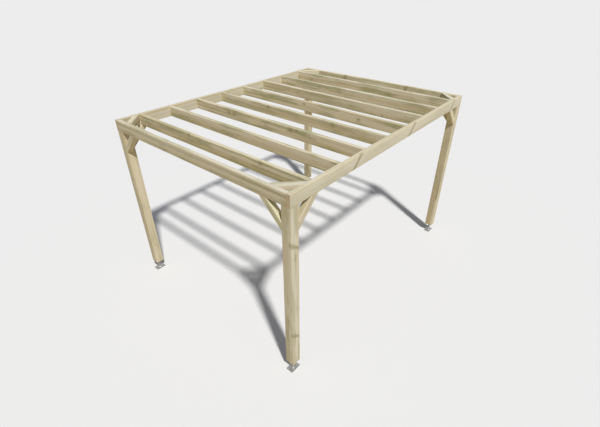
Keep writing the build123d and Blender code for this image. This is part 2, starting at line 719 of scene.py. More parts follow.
    def _rings(self) -> Signal:
        """Lay growth rings round the heart, bulging outward round each branch.

        Returns:
            How much summer wood there is, from 0 to 1.
        """
        bulge = (self.nearness**2.0 * self.BULGE_FALL).then("EXPONENT") * self.BULGE
        count = (self.section.then("LENGTH") + bulge) * self.RINGS
        year = (count + self._noise(self.UNEVEN_YEARS) * self.UNEVENNESS).then("FRACT")
        return year**self.LATE_RISE * self.sheet.step(year, *self.YEAR_END)

    def _coat(self, tint: Tint, pattern: Signal, mask: Source = 1.0) -> Coat:
        """Lay a tint where its pattern calls for it and a mask lets it show."""
        return self.sheet.step(pattern, tint.start, tint.full) * mask * tint.share, tint.colour

    def _face_coats(self) -> list[Coat]:
        """Colour the long faces: rings, fibres, tan bands, sapwood and the green treatment.

        Returns:
            The coats, the lowest first.
        """
        streaks, patches = self._noise(self.SOAKED_STREAKS), self._noise(self.SOAKED_PATCHES)
        soaking = streaks.blended(self.STREAK_SHARE, patches)
        soaked = self._coat(self.OLIVE, soaking, self.given["Green"])
        return [
            (self.late * self.SUMMER_SHARE, self.SUMMER_WOOD),
            self._coat(self.FIBRE, self.fibre),
            self._coat(self.TAN, self._noise(self.TAN_BANDS), self.given["Warmth"]),
            self._coat(self.BLEACHED, self.strayed),
            self._coat(self.PINK, self._noise(self.BLUSHES)),
            soaked,
            self._coat(self.DEEP_OLIVE, self._noise(self.SPECKS), soaked[0]),
        ]

    def _end_coat(self) -> Coat:
        """Colour the sawn ends, which are browner and show whole rings.

        Returns:
            The coat.
        """
        sheet = self.sheet
        normal = sheet.node("NewGeometry").outputs["True Normal"]
        square = self.given["Grain"].then("DOT_PRODUCT", normal).then("ABSOLUTE")
        depth = self.fibre.blended(self.END_FIBRE, self.late)
        return sheet.step(square, *self.SAWN), sheet.mix(depth, self.END_PALE, self.END_DARK)

    def _knot_coats(self) -> list[Coat]:
        """Colour the knots: a stained halo, a dark bark rim and a brown heart with rings.

        Returns:
            The coats, the lowest first.
        """
        close, strong, mean = self.KNOT_RINGS
        rings = (self.nearness * close).then("SINE") * strong + mean
        masks = {self.KNOT_HALO: 1.0, self.KNOT_RIM: 1.0, self.KNOT_HEART: rings}
        return [self._coat(tint, self.nearness, mask) for tint, mask in masks.items()]

    def _arris_highlight_coat(self) -> Coat:
        """Paint a highlight along the eased edges, broken up unevenly along their length.

        Returns:
            The coat.
        """
        _, across, through = (self.given["Half"] - self.given["Place"].then("ABSOLUTE")).parts
        highlighted = self.sheet.step(self._noise(self.HIGHLIGHT_BREAKS), *self.HIGHLIGHT_SPAN)
        return self._coat(self.ARRIS_HIGHLIGHT, across.then("MAXIMUM", through), highlighted)


@dataclass(frozen=True)
class TimberFinish:
    """Planed, pressure-treated softwood on one timber, with the piece of tree it was cut from."""

    seed: float  # makes this timber's grain differ from the others'
    heart: Range  # where the tree's heart lay, across the face and through the edge
    green: float  # how strongly the treatment shows
    character: Character

    RELIEF = 0.35 * MILLIMETRE
    RELIEF_STRENGTH = 0.8
    SPECULAR = 0.5
    LEAST_RADIUS = 0.5 * MILLIMETRE  # of a placed knot where it tapers away

    def material(self, name: str, stock: "Stock") -> bpy.types.Material:
        """Make the timber's material.

        Args:
            name: The material's name.
            stock: The timber's place, directions and sizes.

        Returns:
            The material.
        """
        material, sheet = new_material(name)
        sources = {
            "Vector": sheet.node("TexCoord").outputs["Object"],
            "Location": stock.middle,
            "Rotation": stock.turn.to_euler(),
        }
        place = sheet.signal("Mapping", sources, vector_type="TEXTURE")
        sources = {
            "Place": place,
            "Grain": tuple(stock.grain),
            "Heart": (0.0, *self.heart),
            "Half": tuple(stock.size / 2),
            "Sapwood": (0.0, *self.character.sapwood),
            "Seed": self.seed,
            "Green": self.green,
            "Warmth": self.character.warmth,
            "Tone": self.character.tone,
            "Sapwood Reach": self.character.sapwood_reach,
            "Placed Knots": self._placed(place),
            "Clear": float(self.character.clear),
        }
        wood = sheet.node("Group", sources, node_tree=SoftwoodPattern.tree()).outputs
        sheet.surface(
            {
                "Base Color": wood["Colour"],
                "Roughness": wood["Roughness"],
                "Specular IOR Level": self.SPECULAR,
                "Normal": sheet.relief(wood["Height"], self.RELIEF, self.RELIEF_STRENGTH),
            }
        )
        return material

    def _placed(self, place: Signal) -> Source:
        """Work out how near the placed knots are.

        Args:
            place: The place in the timber's own axes.

        Returns:
            The distance to the nearest of them in units of its radius.
        """
        nearest: Source = FAR
        for knot in self.character.knots:
            offset = place - knot.place
            branch = tuple(Vector(knot.branch).normalized())
            along = offset.then("DOT_PRODUCT", branch)
            sources = {0: branch, 1: along}
            foot = place.sheet.signal("VectorMath", sources, operation="MULTIPLY")
            grown = along * (knot.radius / knot.root) + knot.radius
            ratio = (offset - foot).then("LENGTH") / grown.then("MAXIMUM", self.LEAST_RADIUS)
            nearest = (ratio**2.0 + knot.cover**2).then("SQRT").then("MINIMUM", nearest)
        return nearest


@dataclass(frozen=True)
class ZincFinish:
    """Hot-dip galvanised steel with its spangle, or bright zinc with a very fine one."""

    name: str
    light: Colour
    dark: Colour
    crystals_per_metre: float
    roughness: float

    CLOUDS = Cells(30.0, 30.0, 4.0, 0.6)
    SCRATCHES = Cells(600.0, 600.0)
    SPANGLE_SHARE = 0.45  # how much of the grey is spangle and not clouds
    METALLIC = 0.85
    RELIEF = 0.05 * MILLIMETRE
    ROUGHNESS_SPREAD = 0.18

    def material(self) -> bpy.types.Material:
        """Make the material.

        Returns:
            The material.
        """
        material, sheet = new_material(self.name)
        place = Signal(sheet, sheet.node("TexCoord").outputs["Object"])
        crystals = sheet.node("TexVoronoi", {"Vector": place, "Scale": self.crystals_per_metre})
        grey, gloss, _ = Signal(sheet, crystals.outputs["Color"]).parts
        shade = grey.blended(self.SPANGLE_SHARE, sheet.noise(place, self.CLOUDS)[0])
        smoothest = self.roughness - self.ROUGHNESS_SPREAD / 2
        sheet.surface(
            {
                "Base Color": sheet.mix(shade, self.dark, self.light),
                "Metallic": self.METALLIC,
                "Roughness": gloss * self.ROUGHNESS_SPREAD + smoothest,
                "Normal": sheet.relief(shade + sheet.noise(place, self.SCRATCHES)[0], self.RELIEF),
            }
        )
        return material


GALVANISED = ZincFinish("galvanised_steel", srgb(189, 187, 183), srgb(153, 153, 152), 95.0, 0.46)
BRIGHT_ZINC = ZincFinish("bright_zinc", srgb(214, 209, 196), srgb(170, 166, 155), 300.0, 0.34)


# Timbers


@dataclass(frozen=True)
class Stock:
    """The straight length of planed timber that a piece is cut from."""

    middle: Vector
    grain: Vector  # the direction of its length
    face: Vector  # the direction of its wide side
    size: Vector  # its length, width and thickness

    @classmethod
    def square(cls, node: str, grain: Vector, face: Vector) -> "Stock":
        """Take the stock of a timber that lies square in the frame from its solid's box.

        Args:
            node: The solid's name.
            grain: The direction of its length.
            face: The direction of its wide side.

        Returns:
            The stock.
        """
        low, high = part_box(node)
        size = Vector(abs((high - low).dot(axis)) for axis in (grain, face, grain.cross(face)))
        return cls((low + high) / 2, grain, face, size)

    @property
    def edge(self) -> Vector:
        """The direction of its thickness."""
        return self.grain.cross(self.face)

    @property
    def turn(self) -> Matrix:
        """The rotation from the timber's own axes to the frame's."""
        return Matrix((self.grain, self.face, self.edge)).transposed()

    def at(self, along: float, across: float, through: float) -> Vector:
        """Find the place in the frame of a place in the timber's own axes."""
        return self.middle + self.turn @ Vector((along, across, through))


@dataclass(frozen=True)
class Check:
    """A drying check, a long and narrow opening along the grain."""

    place: Vector  # the middle of its opening
    along: Vector
    outward: Vector  # the outward normal of the face that it opens on
    size: Vector  # its length, width and depth
    model: int  # which of the modelled shapes it takes


@dataclass(frozen=True)
class Pocket:
    """A slanting pocket with a screw at its bottom."""

    mouth: Vector  # where the pocket's middle line meets the timber's face
    drive: Vector  # the direction in which the screw was driven
    depth: float  # how far along that line the pocket's floor lies


@dataclass
class Cutters:
    """The shapes that are cut out of the timbers, each modelled once."""

    above: float = 0.25  # how far a check of unit size stands out of the face
    root_width: float = 0.12  # the width at its root
    end_width: float = 0.04  # the least share of width and depth that is left at its ends
    blunt: float = 0.7  # the power of the cosine by which it tapers to them
    rings: int = 10  # into how many lengths it is divided
    first_draw: int = 40  # the seed of the first check's wandering
    bore_radius: float = 6.0 * MILLIMETRE
    bore_length: float = 60.0 * MILLIMETRE
    bore_sides: int = 28
    # How far the pocket's floor is dished, and how wide the dish's slope is
    dish: Range = (1.2 * MILLIMETRE, 1.5 * MILLIMETRE)

    CHECK_SHAPES = 3

    def model(self) -> None:
        """Model the checks and the bore."""
        self.checks = [self._check(number) for number in range(self.CHECK_SHAPES)]
        self.bore = self._bore()

    def _check(self, number: int) -> Piece:
        """Model a check of unit size: a wedge that tapers to both ends and wanders sideways.

        Args:
            number: Which check it is, which decides how it wanders.

        Returns:
            The cutter, its opening at height 0 and its root at -1.
        """
        size = Vector((1.0, 1.0, 1.0 + self.above))
        middle = Z_AXIS * (self.above - 1) / 2
        wedge = Bench.block(f"check_{number}", middle, size, Matrix.Identity(3))
        Bench.pick(wedge, Part.VERT, lambda vert: vert.co.z < 0)
        Bench.scale_level(1.0, self.root_width)
        Bench.pick(wedge, Part.EDGE, Bench.running(X_AXIS))
        bpy.ops.mesh.subdivide(number_cuts=self.rings - 1)
        draw = random.Random(self.first_draw + number)
        sway = 0.0
        for ring in range(self.rings + 1):
            station = ring / self.rings - 0.5
            taper = max(self.end_width, math.cos(math.pi * station) ** self.blunt)
            sway += draw.uniform(-1.0, 1.0)
            Bench.pick(wedge, Part.VERT, lambda vert: abs(vert.co.x - station) < HAIR)
            bpy.ops.transform.resize(value=(1.0, taper, taper), center_override=(station, 0, 0))
            bpy.ops.transform.translate(value=(0.0, sway, 0.0))
        Bench.close(wedge)
        return wedge

    def _bore(self) -> Piece:
        """Model the bore of a screw pocket, pointing up out of the wood.

        Returns:
            The cutter, with its bottom at height 0.
        """
        bore = Bench.cylinder("bore", self.bore_sides, self.bore_radius, self.bore_length, self.bore_length)
        Bench.pick(bore, Part.FACE, Bench.facing(-Z_AXIS))
        drop, slope = self.dish
        bpy.ops.mesh.inset(thickness=slope)
        Bench.raise_by(-drop)
        Bench.close(bore)
        return bore

    def cut(self, timber: Piece, checks: Sequence[Check], pockets: Sequence[Pocket]) -> None:
        """Cut checks and screw pockets into a timber.

        Args:
            timber: The timber.
            checks: Its drying checks.
            pockets: Its screw pockets.
        """
        tools = []
        for check in checks:
            place = frame_matrix(check.along, check.outward, check.place, check.size)
            tools.append(Bench.copy(self.checks[check.model], "tool", place))
        for pocket in pockets:
            floor = pocket.mouth + pocket.drive * pocket.depth
            place = frame_matrix(pocket.drive.orthogonal(), -pocket.drive, floor)
            tools.append(Bench.copy(self.bore, "tool", place))
        tool = Bench.join("tool", tools)
        Bench.apply(timber, "BOOLEAN", operation="DIFFERENCE", solver="EXACT", use_self=True, object=tool)
        Bench.discard([tool])
        if not timber.data.polygons:
            raise RuntimeError(f"{timber.name} was lost when its checks and pockets were cut")

    def clear_away(self) -> None:
        """Delete the models."""
        Bench.discard([*self.checks, self.bore])


@dataclass
class Timber:
    """One timber: planed stock with eased arrises, drying checks and screw pockets."""

    node: str  # the solid that it stands for
    slot: Slot  # the record's slot that its finish belongs to
    finish: TimberFinish
    stock: Stock
    open_ends: bool = False  # whether its ends stay open to view and are bevelled
    checks_per_metre: float = 0.8  # how often it has a check, though it has one at least
    check_width: float = 1.3 * MILLIMETRE  # the width of its widest check
    check_reach: float = 0.42  # the length of its longest check
    pockets: Sequence[Pocket] = ()
    arris: float = 4.0 * MILLIMETRE  # the radius of its rounded arrises
    arris_steps: int = 5
    end_bevel: float = 2.0 * MILLIMETRE  # the width of the bevel round an open end

    REACHES = (0.3, 1.0)  # a check's length, in shares of the longest
    LONGEST = 0.5  # the longest check, as a share of the timber
    END_ROOM = 0.12  # how much of the length stays free of checks
    STRAY = 0.16  # how far from the middle of a face a check may lie, as a share of its width
    OPENINGS = (0.45, 1.0)  # a check's width, in shares of the widest
    DEPTHS = (6.0, 9.0)  # its depth, in widths
    END_ROWS = (-0.24, 0.2)  # where across an end its checks are, as shares of the width
    END_SLANT = 0.5  # how far they may lean
    END_REACHES = (0.4, 0.6)  # their length, in shares of the thickness
    END_OPENING, END_DEPTH = 0.9 * MILLIMETRE, 9.0 * MILLIMETRE

    def build(self, cutters: Cutters) -> None:
        """Model the timber and cut its checks and pockets.

        Args:
            cutters: The shapes that are cut out of it.
        """
        stock = self.stock
        piece = Bench.block(f"{self.node}_planed", stock.middle, stock.size, stock.turn)
        Bench.pick(piece, Part.EDGE, Bench.running(stock.grain))
        bpy.ops.mesh.bevel(offset=self.arris, segments=self.arris_steps, affect="EDGES")
        self._finish_ends(piece)
        Bench.close(piece)
        cutters.cut(piece, self._checks(), self.pockets)
        Bench.edit(piece)
        Bench.close(piece)
        self._dress(piece)

    def _dress(self, piece: Piece) -> None:
        """Give the timber its finish and let it stand for its solid.

        Args:
            piece: The modelled timber.
        """
        put_on(piece, self.finish.material(f"softwood_{self.node}", self.stock))
        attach(piece, "root")
        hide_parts(self.node)

    def _finish_ends(self, piece: Piece) -> None:
        """Bevel round the ends if they stay open.

        Args:
            piece: The timber, open in edit mode.
        """
        stock = self.stock
        half = stock.size.x / 2
        for end in (-half, half) if self.open_ends else ():
            Bench.pick(
                piece,
                Part.EDGE,
                lambda edge: all(
                    abs((vert.co - stock.middle).dot(stock.grain) - end) < HAIR for vert in edge.verts
                ),
            )
            bpy.ops.mesh.bevel(offset=self.end_bevel, segments=1, affect="EDGES")

    def _checks(self) -> list[Check]:
        """Scatter checks over the long faces, and a few over the ends that stay open.

        Returns:
            The checks.
        """
        stock = self.stock
        draw = random.Random(f"checks of {self.node}")
        checks = []
        length, width, thick = stock.size
        for _ in range(max(1, round(length * self.checks_per_metre))):
            reach = draw.uniform(*self.REACHES) * min(self.check_reach, self.LONGEST * length)
            along = draw.uniform(-0.5, 0.5) * (length - reach - self.END_ROOM)
            side = draw.choice((-1, 1))
            on_face = draw.random() < width / (width + thick)
            breadth, half = (width, thick / 2) if on_face else (thick, width / 2)
            across = draw.uniform(-self.STRAY, self.STRAY) * breadth
            offsets = (across, side * half) if on_face else (side * half, across)
            outward = stock.edge * side if on_face else stock.face * side
            opening = draw.uniform(*self.OPENINGS) * self.check_width
            size = Vector((reach, opening, draw.uniform(*self.DEPTHS) * opening))
            model = draw.randrange(Cutters.CHECK_SHAPES)
            checks.append(Check(stock.at(along, *offsets), stock.grain, outward, size, model))
        return checks + self._end_checks(draw) if self.open_ends else checks

    def _end_checks(self, draw: random.Random) -> list[Check]:
        """Open a few short checks in both ends, running out from the heart.

        Args:
            draw: The timber's own run of random numbers.

        Returns:
            The checks.
        """
        stock = self.stock
        checks = []
        for end in (-1, 1):
            for row in self.END_ROWS:
                slant = draw.uniform(-self.END_SLANT, self.END_SLANT)
                along = (stock.edge + stock.face * slant).normalized()
                place = stock.at(end * stock.size.x / 2, row * stock.size.y, 0.0)
                reach = draw.uniform(*self.END_REACHES) * stock.size.z
                size = Vector((reach, self.END_OPENING, self.END_DEPTH))
                model = draw.randrange(Cutters.CHECK_SHAPES)
                checks.append(Check(place, along, stock.grain * end, size, model))
        return checks


@dataclass
class Brace(Timber):
    """A brace: stock laid across a corner at 45 degrees and sawn flush with both sides of it."""

    nook: Vector = field(default_factory=Vector)  # the inside of the corner, on the brace's middle plane
    # The directions of the corner's two sides, away from the nook
    sides: tuple[Vector, Vector] = (X_AXIS, Y_AXIS)

    def _finish_ends(self, piece: Piece) -> None:
        """Saw both ends along the sides of the corner.

        Args:
            piece: The brace, open in edit mode.
        """
        for side in self.sides:
            Bench.pick_all(Part.FACE)
            bpy.ops.mesh.bisect(plane_co=self.nook, plane_no=side, use_fill=True, clear_inner=True)


# How far from its middle the faces of a post, of a beam or joist and of a brace lie
POST_FACE = 57.5 * MILLIMETRE
PLANK_FACE, PLANK_TOP = 25.0 * MILLIMETRE, 70.0 * MILLIMETRE
BRACE_FACE = 35.0 * MILLIMETRE

# Between which numbers a timber's seed, its heart's place, its tone and its warmth are drawn
SEEDS = (0.0, 40.0)
HEARTS_ACROSS, HEARTS_THROUGH = (-0.5, 0.5), (0.3, 1.0)
TONES, WARMTHS = (0.97, 1.04), (0.4, 0.9)


def smudge(along: float, across: float, radius: float) -> Knot:
    """Make a knot that the saw just missed, which stains a timber's wide side."""
    return Knot((along, across, PLANK_FACE), (1.0, 0.0, 1.0), radius, cover=1.2)


def spike_knot(along: float, across: float, lean: float, radius: float) -> Knot:
    """Make a knot whose branch runs across just under a timber's wide side and leans."""
    return Knot((along, across, PLANK_FACE), (lean, 1.0, 0.0), radius, root=0.6, cover=1.15)


# Where a timber's knots, its lightness or its warmth are known, in the timber's own axes; two tones also
# hold painted light and shade, as noted at them
KNOWN_TIMBERS = {
    "post_front_right": Character(
        tone=0.97,
        warmth=0.4,
        sapwood=(POST_FACE, -0.02),
        sapwood_reach=0.06,
        knots=(
            Knot((0.678, POST_FACE, -POST_FACE), (0.72, 0.0, -1.0), 0.019, root=0.3, cover=1.25),
            Knot((-0.578, POST_FACE, -POST_FACE), (0.79, 0.0, -1.0), 0.017, root=0.3, cover=1.25),
        ),
        clear=True,
    ),
    "post_front_left": Character(tone=0.975),
    "post_back_right": Character(
        knots=(Knot((-0.53, 0.035, -POST_FACE), (1.0, 0.05, -0.12), 0.007, root=0.12, cover=0.95),),
    ),
    "beam_right": Character(
        tone=0.97,
        warmth=0.2,
        sapwood=(-0.005, PLANK_FACE),
        sapwood_reach=0.075,
        knots=(
            spike_knot(-0.909, -0.008, 0.97, 0.0135),
            spike_knot(0.337, 0.008, 1.0, 0.013),
            spike_knot(1.61, 0.0, 0.79, 0.012),
        ),
        clear=True,
    ),
    "beam_left": Character(tone=0.9, warmth=0.5, sapwood=(-0.01, PLANK_FACE), sapwood_reach=0.065),
    "beam_front": Character(
        tone=0.97,
        warmth=0.3,
        sapwood=(0.085, -0.01),
        sapwood_reach=0.035,
        knots=(
            Knot((0.0, 0.03, PLANK_FACE), (1.0, 0.0, 0.0), 0.015, root=500.0, cover=1.7),
            Knot((1.42, 0.034, PLANK_FACE), (1.0, -0.01, 0.0), 0.008, root=0.6, cover=1.2),
        ),
        clear=True,
    ),
    # Tone 1.24 is painted light: it lightens the whole brace for the sun on its upper face, which the lamp
    # leaves in shade
    "knee_brace_front_right_cross": Character(
        tone=1.24, warmth=0.4, sapwood=(-0.03, 0.03), sapwood_reach=0.07, clear=True
    ),
    "knee_brace_front_right_side": Character(tone=0.91, warmth=0.4, clear=True),
    # Tone 0.91 here is painted shade: it darkens the brace for the half shadow that lies on its inner face
    "knee_brace_front_left_side": Character(tone=0.91, warmth=0.5),
    "corner_brace_front_right": Character(
        tone=1.01, warmth=0.5, sapwood=(0.0, -BRACE_FACE), sapwood_reach=0.045, clear=True
    ),
    "corner_brace_back_right": Character(
        tone=1.01, warmth=0.5, sapwood=(0.0, BRACE_FACE), sapwood_reach=0.05
    ),
    "beam_back": Character(
        tone=1.06,
        warmth=0.5,
        sapwood=(0.0, -PLANK_FACE),
        sapwood_reach=0.06,
        knots=(spike_knot(-0.601, 0.044, 0.3, 0.018), spike_knot(0.596, 0.041, 0.3, 0.018)),
    ),
    "joist_1": Character(knots=(smudge(-0.369, 0.05, 0.016), smudge(0.822, 0.05, 0.016)), clear=True),
    "joist_3": Character(
        knots=(
            smudge(-0.73, 0.015, 0.018),
            smudge(-0.626, 0.015, 0.019),
            smudge(0.396, 0.035, 0.021),
            smudge(0.507, 0.044, 0.014),
        ),
        clear=True,
    ),
    "joist_4": Character(knots=(smudge(-0.427, 0.04, 0.016), smudge(0.695, 0.036, 0.018)), clear=True),
    "joist_5": Character(knots=(smudge(0.784, 0.0, 0.015), smudge(-0.15, 0.03, 0.012)), clear=True),
    "joist_6": Character(tone=0.985),
    "joist_7": Character(tone=1.01, warmth=0.6, sapwood=(PLANK_TOP, 0.0), sapwood_reach=0.045),
    "joist_8": Character(tone=1.02, warmth=0.6, sapwood=(PLANK_TOP, 0.0), sapwood_reach=0.045),
}


def varied(node: str, heart: float, green: Range) -> TimberFinish:
    """Make a finish that is this timber's own.

    Args:
        node: The timber, whose name decides the numbers.
        heart: How far from the middle of the section the tree's heart may lie.
        green: The least and the most that the treatment shows.

    Returns:
        The finish.
    """
    draw = random.Random(f"grain of {node}")
    seed = draw.uniform(*SEEDS)
    across = draw.uniform(*HEARTS_ACROSS) * heart
    through = draw.choice((-1, 1)) * draw.uniform(*HEARTS_THROUGH) * heart
    shown = draw.uniform(*green)
    usual = Character(draw.uniform(*TONES), draw.uniform(*WARMTHS))
    return TimberFinish(seed, (across, through), shown, KNOWN_TIMBERS.get(node, usual))


# Sub-assemblies


class Assembly:
    """A set of timbers that belong together."""

    def lay_out(self) -> list[Timber]:
        """Lay out its timbers in the order in which they are built."""
        raise NotImplementedError

    def build(self, cutters: Cutters) -> list[Pocket]:
        """Model and dress the timbers.

        Args:
            cutters: The shapes that are cut out of them.

        Returns:
            The pockets that need a screw.
        """
        pockets = []
        for timber in self.lay_out():
            timber.build(cutters)
            pockets.extend(timber.pockets)
            log.info("built %s with %d screw pockets", timber.node, len(timber.pockets))
        return pockets


@dataclass
class Posts(Assembly):
    """The four posts, sawn from the middle of the tree, so that the heart lies inside them."""

    heart: float = 0.016
    green: Range = (0.25, 0.5)
    checks_per_metre: float = 1.8
    check_width: float = 2.0 * MILLIMETRE
    check_reach: float = 0.8

    def lay_out(self) -> list[Timber]:
        """Lay out the posts.

        Returns:
            The posts.
        """
        checks = (self.checks_per_metre, self.check_width, self.check_reach)
        posts = []
        for corner in Corner:
            node = f"post_{corner.label}"
            finish, stock = varied(node, self.heart, self.green), Stock.square(node, Z_AXIS, X_AXIS)
            posts.append(Timber(node, Slot.POST, finish, stock, False, *checks))
        return posts


@dataclass
class RoofFrame(Assembly):
    """The rectangle of beams and the joists in it."""

    heart: float = 0.06
    joists: int = 8
    screw_rows: float = 0.035  # the height of the screws above and below the middle of a joist
    screw_inset: float = 0.042  # how far from a joist's end its screw pockets are
    screw_depth: float = 14.0 * MILLIMETRE
    slant: float = 2.0  # how much farther a screw goes along its timber than into it
    side_green: Range = (0.2, 0.4)
    end_green: Range = (0.4, 0.6)
    joist_green: Range = (0.5, 0.8)

    def lay_out(self) -> list[Timber]:
        """Lay out the beams and joists.

        Returns:
            The timbers.
        """
        timbers = []
        for node in ("beam_left", "beam_right"):
            finish, stock = varied(node, self.heart, self.side_green), Stock.square(node, Y_AXIS, Z_AXIS)
            timbers.append(Timber(node, Slot.BEAM, finish, stock, open_ends=True))
        for node, inward in (("beam_front", Y_AXIS), ("beam_back", -Y_AXIS)):
            timbers.append(self._cross(node, Slot.BEAM, inward, self.end_green))
        for number in range(1, self.joists + 1):
            timbers.append(self._cross(f"joist_{number}", Slot.JOIST, Y_AXIS, self.joist_green))
        return timbers

    def _cross(self, node: str, slot: Slot, inward: Vector, green: Range) -> Timber:
        """Lay out a timber that is held between the side beams by slanting screws.

        Args:
            node: The solid that it stands for.
            slot: The record's slot that its finish belongs to.
            inward: The side on which its screw pockets are.
            green: The least and the most that the treatment shows.

        Returns:
            The timber.
        """
        stock = Stock.square(node, X_AXIS, Z_AXIS)
        length, _, thick = stock.size
        pockets = []
        for side in (-1, 1):
            drive = (X_AXIS * side * self.slant - inward).normalized()
            for row in (-self.screw_rows, self.screw_rows):
                mouth = Vector((side * (length / 2 - self.screw_inset), 0, row))
                mouth += stock.middle + inward * thick / 2
                pockets.append(Pocket(mouth, drive, self.screw_depth))
        return Timber(node, slot, varied(node, self.heart, green), stock, pockets=pockets)


@dataclass
class Braces(Assembly):
    """The knee braces under the beams and the corner braces across the roof."""

    side: float = 0.070  # the side of their square stock
    heart: float = 0.035
    green: Range = (0.3, 0.6)
    check_reach: float = 0.12
    screw_inset: float = 0.066  # how far up the long side from its tip a screw pocket is
    screw_depth: float = 16.0 * MILLIMETRE

    def lay_out(self) -> list[Timber]:
        """Lay out two knee braces and a corner brace for each corner.

        Returns:
            The braces.
        """
        braces = []
        for corner in Corner:
            across, back = -X_AXIS * corner.side, -Y_AXIS * corner.end
            braces.append(self._brace(f"knee_brace_{corner.label}_cross", across, -Z_AXIS))
            braces.append(self._brace(f"knee_brace_{corner.label}_side", back, -Z_AXIS))
            braces.append(self._brace(f"corner_brace_{corner.label}", across, back))
        return braces

    def _brace(self, node: str, first: Vector, second: Vector) -> Brace:
        """Lay out a brace from its solid's box.

        Args:
            node: The solid that it stands for.
            first: The direction of one side of the corner, away from the nook.
            second: The direction of the other side.

        Returns:
            The brace.
        """
        low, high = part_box(node)
        middle = (low + high) / 2
        reach = abs((high - low).dot(first))
        out = (first + second).normalized()
        size = Vector((2.0 * reach, self.side, self.side))
        stock = Stock(middle - out * (self.side / 2), (first - second).normalized(), out, size)
        pockets = []
        for side, other in ((first, second), (second, first)):
            mouth = middle + (side - other) * (reach / 2 - self.screw_inset / math.sqrt(2))
            pockets.append(Pocket(mouth, -other, self.screw_depth))
        return Brace(
            node,
            Slot.BRACE,
            varied(node, self.heart, self.green),
            stock,
            checks_per_metre=0.0,
            check_reach=self.check_reach,
            pockets=pockets,
            nook=middle - (first + second) * reach / 2,
            sides=(first, second),
        )


# Steel


def dress_steel(piece: Piece, material: bpy.types.Material) -> None:
    """Give a new steel piece its material and let it ride on the frame.

    Args:
        piece: The piece.
        material: Its material.
    """
    put_on(piece, material)
    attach(piece, "root")
    log.info("built %s", piece.name)


@dataclass
class Screws:
    """The countersunk screws in the pockets of the timbers."""

    radius: float = 5.4 * MILLIMETRE
    thickness: float = 3.2 * MILLIMETRE  # the height of the head's cone
    shank: float = 0.42  # the radius at the cone's tip, as a share of the head's
    rim: float = 0.5 * MILLIMETRE  # the height of its cylindrical rim
    recess: float = 2.9 * MILLIMETRE  # the radius of the recess for the driver
    recess_depth: float = 1.9 * MILLIMETRE
    lobes: int = 6  # how many lobes the recess has
    pinch: float = 0.76  # how far it is drawn in between them, as a share of its radius
    proud: float = 0.6  # how much of the cone's height stands above the pocket's floor
    twist: float = 0.7  # by how much each screw is turned from the one before

    def build(self, sets: dict[str, Sequence[Pocket]]) -> None:
        """Put a screw into each pocket and dress each set of them as one piece.

        Args:
            sets: The pockets of each piece, by its name.
        """
        model = self._head()
        for name, pockets in sets.items():
            heads = []
            for number, pocket in enumerate(pockets):
                seat = pocket.mouth + pocket.drive * (pocket.depth - self.thickness * self.proud)
                turned = Matrix.Rotation(self.twist * number, 3, pocket.drive) @ pocket.drive.orthogonal()
                heads.append(Bench.copy(model, "screw", frame_matrix(turned, -pocket.drive, seat)))
            dress_steel(Bench.join(name, heads), BRIGHT_ZINC.material())
        Bench.discard([model])

    def _head(self) -> Piece:
        """Model one head: a cone under a thin rim, with a lobed recess in its flat top.

        Returns:
            The head, its top at height 0 and facing up.
        """
        sides = 4 * self.lobes
        head = Bench.cylinder("screw_head", sides, self.radius, 0.0, self.rim)
        Bench.pick(head, Part.FACE, Bench.facing(-Z_AXIS))
        bpy.ops.mesh.extrude_region_move(TRANSFORM_OT_translate={"value": (0, 0, -self.thickness)})
        Bench.scale_level(self.shank, self.shank)
        Bench.pick(head, Part.FACE, Bench.facing(Z_AXIS))
        bpy.ops.mesh.inset(thickness=self.radius - self.recess)
        bpy.ops.mesh.extrude_region_move(TRANSFORM_OT_translate={"value": (0, 0, -self.recess_depth)})
        Bench.pick(
            head,
            Part.VERT,
            lambda vert: vert.co.z > -self.recess_depth - HAIR
            and vert.co.xy.length < self.recess + HAIR
            and round(math.atan2(vert.co.y, vert.co.x) * sides / math.tau) % 4 == 2,
        )
        Bench.scale_level(self.pinch, self.pinch)
        Bench.close(head)
        return head


